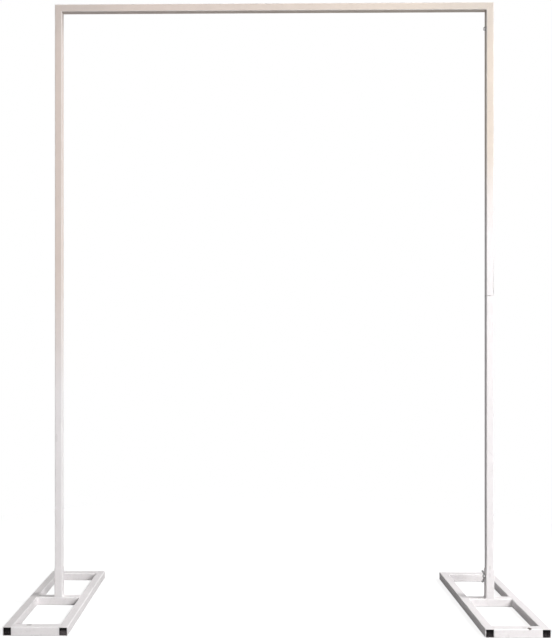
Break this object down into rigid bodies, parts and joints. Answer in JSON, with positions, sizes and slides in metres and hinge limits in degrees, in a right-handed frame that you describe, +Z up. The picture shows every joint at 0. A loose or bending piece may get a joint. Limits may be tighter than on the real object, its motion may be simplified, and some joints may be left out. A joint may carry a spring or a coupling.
{
  "type": "backdrop stand",
  "caption": "Free-standing backdrop frame of white square steel tube: a plain top bar on sectional posts, each held in a socket on a flat ladder foot.",
  "frame": {"origin": "on the floor, under the middle of the top bar and midway between the front and back ends of the feet", "axes": "+Z up; +X along the top bar, towards the post with the bolts; +Y away from the front, so the front faces -Y"},
  "size_m": [1.675, 0.58, 2.06],
  "materials": {
    "white_powder_coat": "white powder coat on steel tube, satin with a slight orange peel",
    "black_plastic": "moulded black polyethylene, dull",
    "zinc_plate": "bright zinc plate on forged steel, dulled by handling"
  },
  "bodies": {
    "root": {"left_foot_outer_rail": "white_powder_coat", "left_foot_inner_rail": "white_powder_coat", "left_foot_front_outer_plug": "black_plastic", "left_foot_front_inner_plug": "black_plastic", "left_foot_back_outer_plug": "black_plastic", "left_foot_back_inner_plug": "black_plastic", "left_foot_front_crossbar": "white_powder_coat", "left_foot_middle_crossbar": "white_powder_coat", "left_foot_back_crossbar": "white_powder_coat", "left_post_socket": "white_powder_coat", "left_lower_post": "white_powder_coat", "left_upper_post": "white_powder_coat", "left_joint_spigot": "white_powder_coat", "left_corner_elbow": "white_powder_coat", "right_foot_outer_rail": "white_powder_coat", "right_foot_inner_rail": "white_powder_coat", "right_foot_front_outer_plug": "black_plastic", "right_foot_front_inner_plug": "black_plastic", "right_foot_back_outer_plug": "black_plastic", "right_foot_back_inner_plug": "black_plastic", "right_foot_front_crossbar": "white_powder_coat", "right_foot_middle_crossbar": "white_powder_coat", "right_foot_back_crossbar": "white_powder_coat", "right_post_socket": "white_powder_coat", "right_lower_post": "white_powder_coat", "right_upper_post": "white_powder_coat", "right_joint_spigot": "white_powder_coat", "right_corner_elbow": "white_powder_coat", "top_bar": "white_powder_coat", "top_hex_bolt": "zinc_plate", "socket_wing_bolt": "zinc_plate"}
  },
  "joints": []
}
